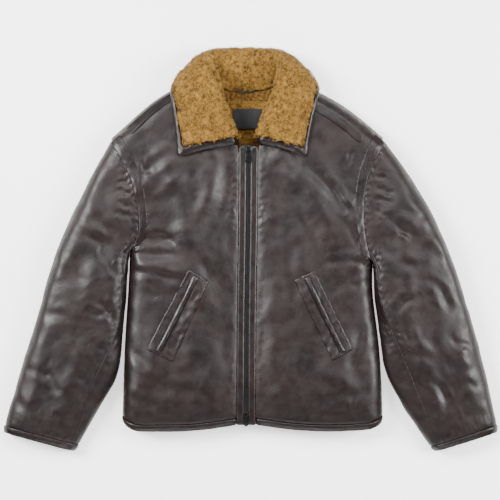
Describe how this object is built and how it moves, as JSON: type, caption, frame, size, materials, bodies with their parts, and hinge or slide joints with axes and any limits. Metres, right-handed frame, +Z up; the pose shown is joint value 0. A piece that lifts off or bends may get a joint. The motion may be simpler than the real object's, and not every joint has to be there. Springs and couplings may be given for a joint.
{
  "type": "leather jacket",
  "caption": "Brown shearling leather jacket laid flat on its back, with a wide tan wool collar, a front zip, slanted pockets, and hollow body and sleeves.",
  "frame": {"origin": "on the surface the jacket lies on, under the middle of its bounding box", "axes": "+X to the wearer's left, +Y from hem to collar, +Z up from the surface, out of the fronts"},
  "size_m": [0.9927, 0.8111, 0.0953],
  "materials": {
    "leather": "satin, creased",
    "strip": "satin",
    "wool": "curled wool pile",
    "metal": "dark satin",
    "tape": "woven",
    "label": "woven, bare"
  },
  "bodies": {
    "jacket": {"front_left": "leather", "front_right": "leather", "back": "leather", "sleeve_top_left": "leather", "sleeve_top_right": "leather", "sleeve_under_left": "leather", "sleeve_under_right": "leather", "collar_leather": "leather", "collar_wool": "wool", "collar_edge": "strip", "neck_wool": "wool", "neck_label": "label", "placket_left": "strip", "placket_right": "strip", "armhole_strip_left": "strip", "armhole_strip_right": "strip", "shoulder_strip_left": "strip", "shoulder_strip_right": "strip", "pocket_patch_left": "leather", "pocket_patch_right": "leather", "pocket_welt_left": "leather", "pocket_welt_right": "leather", "hem_band_left": "strip", "hem_band_right": "strip", "hem_band_back": "strip", "cuff_band_left": "strip", "cuff_band_right": "strip", "zip_tape_left": "tape", "zip_tape_right": "tape", "zip_chain": "metal", "slider_top": "metal", "slider_bottom": "metal", "hanger_loop": "tape"},
    "pull_tab_top": {"pull_tab_top": "metal"},
    "pull_tab_bottom": {"pull_tab_bottom": "metal"}
  },
  "joints": [
    {"name": "pull_tab_top_hinge", "type": "hinge", "parent": "jacket", "child": "pull_tab_top", "pos_m": [-0.00405, 0.2, 0.05118], "axis": [-1, 0, 0], "range_deg": [0, 100]},
    {"name": "pull_tab_bottom_hinge", "type": "hinge", "parent": "jacket", "child": "pull_tab_bottom", "pos_m": [-0.00886, -0.3305, 0.04571], "axis": [-1, 0, 0], "range_deg": [0, 150]}
  ]
}
